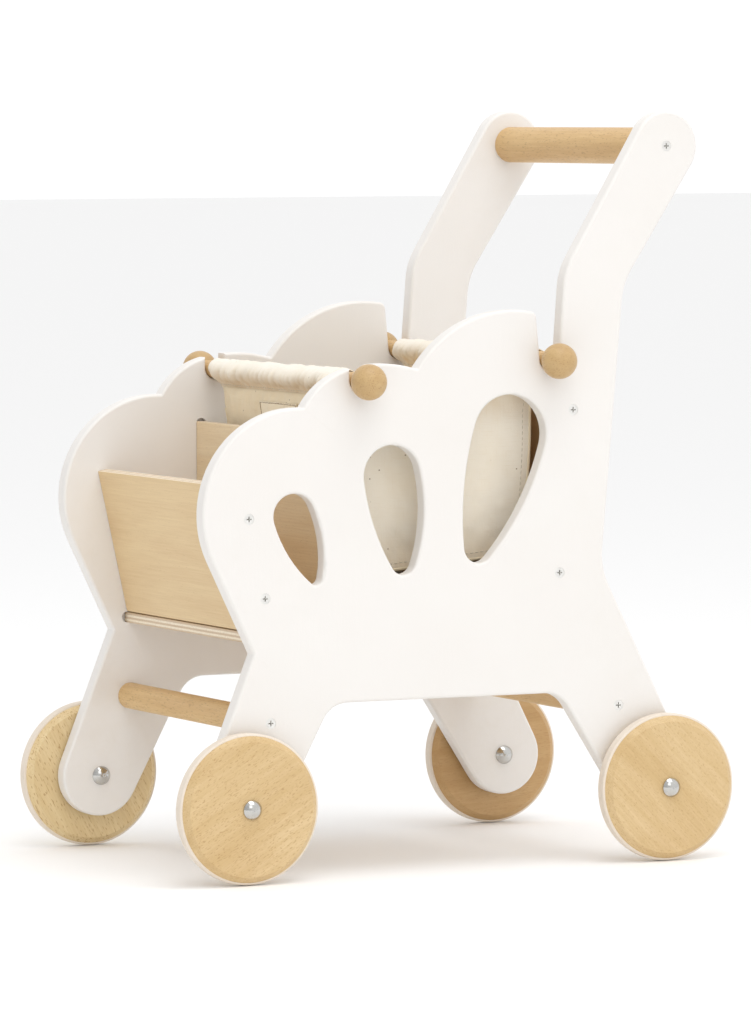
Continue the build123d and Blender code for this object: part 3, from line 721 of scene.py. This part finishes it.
def label_piece(count_x=61, count_z=25):
    """Tape lying on the front wall and lifting a little at its corners."""
    mid = strip.shape[0] // 3
    front_wall = strip[:mid]
    columns = np.linspace(-LABEL_W / 2, LABEL_W / 2, count_x)
    points = np.empty((count_x, count_z, 3))
    for i, x in enumerate(columns):
        column = int(round((x / HALF_W + 1) / 2 * (strip.shape[1] - 1)))
        zs = front_wall[:, column, 2]
        for j, t in enumerate(np.linspace(0, 1, count_z)):
            z = LABEL_TOP - t * LABEL_H
            order = np.argsort(zs)
            y = np.interp(z, zs[order], front_wall[order, column, 1])
            corner = (abs(x) / (LABEL_W / 2)) ** 6 * (abs(2 * t - 1)) ** 3
            uneven = 0.12 * MM * noise.noise(Vector((x * 90, z * 90, 5)))
            rise = LABEL_RISE + LABEL_CORNER_LIFT * corner + uneven
            points[i, j] = (x, y - rise, z)
    points[..., 1] = 0.6 * points[..., 1].mean(axis=1, keepdims=True) + 0.4 * points[..., 1] \
        + 0.6 * (points[..., 1].mean(axis=0) - points[..., 1].mean())[None, :]
    flat = points[..., [0, 2]]
    return points, flat


label_points, label_flat = label_piece()
label = make_piece("bag_label_tape", label_points, label_flat, LABEL_CLOTH, LABEL_T)
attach(label, "carrier")
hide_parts("bag_label")
label_n = grid_normals(label_points)
if label_n[30, 12, 1] > 0:
    label_n = -label_n
nx, nz = label_points.shape[:2]
ring = ([(i, 1) for i in range(1, nx - 1)] + [(nx - 2, j) for j in range(1, nz - 1)]
        + [(i, nz - 2) for i in range(nx - 2, 0, -1)] + [(1, j) for j in range(nz - 2, 0, -1)])
edge = [label_points[i, j] + label_n[i, j] * (LABEL_T / 2) for i, j in ring]
border = tube_mesh("bag_label_border", edge + edge[:1], 0.36 * MM, BROWN_THREAD, 8, 1.0)
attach(border, "carrier")

# ------------------------------------------------------------------ floor, light and camera


def plane(name, size, z, material):
    mesh = bpy.data.meshes.new(name)
    corners = [(-size, -size, z), (size, -size, z), (size, size, z), (-size, size, z)]
    mesh.from_pydata(corners, [], [(0, 1, 2, 3)])
    mesh.materials.append(material)
    obj = bpy.data.objects.new(name, mesh)
    bpy.context.scene.collection.objects.link(obj)
    return obj


floor_shader = Shader("pale_floor")
floor_material = floor_shader.finish((0.97, 0.97, 0.97), 0.9, Specular_IOR_Level=0.1)
plane("floor", 30, -0.0004, floor_material)


def area_light(name, place, aim, size, power, color=(1, 1, 1)):
    data = bpy.data.lights.new(name, "AREA")
    data.shape = "RECTANGLE"
    data.size, data.size_y = size
    data.energy = power
    data.color = color
    obj = bpy.data.objects.new(name, data)
    bpy.context.scene.collection.objects.link(obj)
    obj.location = place
    obj.rotation_euler = (Vector(aim) - Vector(place)).to_track_quat("-Z", "Y").to_euler()
    return obj


OVERHEAD_W, KEY_W = 17, 13
STUDIO, STUDIO_SIDE = 1.03, 0.66     # world strength, and its strength towards -Y
area_light("overhead", (0.7, 0.0, 2.4), (0, 0, 0.2), (1.5, 1.5), OVERHEAD_W)
area_light("key", (3.0, -1.3, 2.4), (0, 0, 0.25), (1.8, 1.8), KEY_W)

world = bpy.data.worlds.new("studio")
bpy.context.scene.world = world
world.use_nodes = True
# a white studio, darker on the -Y side
tree = world.node_tree
background = tree.nodes["Background"]
background.inputs["Color"].default_value = (1, 1, 1, 1)
direction = tree.nodes.new("ShaderNodeTexCoord")
split = tree.nodes.new("ShaderNodeSeparateXYZ")
falloff = tree.nodes.new("ShaderNodeMapRange")
falloff.inputs["From Min"].default_value = -1.0
falloff.inputs["From Max"].default_value = 0.1
falloff.inputs["To Min"].default_value = STUDIO_SIDE
falloff.inputs["To Max"].default_value = STUDIO
tree.links.new(direction.outputs["Generated"], split.inputs[0])
tree.links.new(split.outputs[1], falloff.inputs["Value"])
tree.links.new(falloff.outputs["Result"], background.inputs["Strength"])
bpy.context.scene.view_settings.view_transform = "Standard"

AZIMUTH, ELEVATION, ROLL = math.radians(64.23), math.radians(3.52), math.radians(-0.163)
CAMERA_AT = Vector((3.97746, -1.91828, 0.50916))
FOCAL_PIXELS, IMAGE_HEIGHT, SENSOR = 6465.87, 1013, 24.0
back = Vector((math.sin(AZIMUTH) * math.cos(ELEVATION), -math.cos(AZIMUTH) * math.cos(ELEVATION),
               math.sin(ELEVATION)))
level = Vector((math.cos(AZIMUTH), math.sin(AZIMUTH), 0))
upright = back.cross(level)
right = level * math.cos(ROLL) + upright * math.sin(ROLL)
up = upright * math.cos(ROLL) - level * math.sin(ROLL)
camera_data = bpy.data.cameras.new("camera")
camera_data.sensor_fit = "VERTICAL"
camera_data.sensor_height = SENSOR
camera_data.lens = FOCAL_PIXELS / IMAGE_HEIGHT * SENSOR
camera_data.clip_end = 100
camera = bpy.data.objects.new("camera", camera_data)
bpy.context.scene.collection.objects.link(camera)
camera.matrix_world = Matrix.Translation(CAMERA_AT) @ Matrix((right, up, back)).transposed().to_4x4()
bpy.context.scene.camera = camera
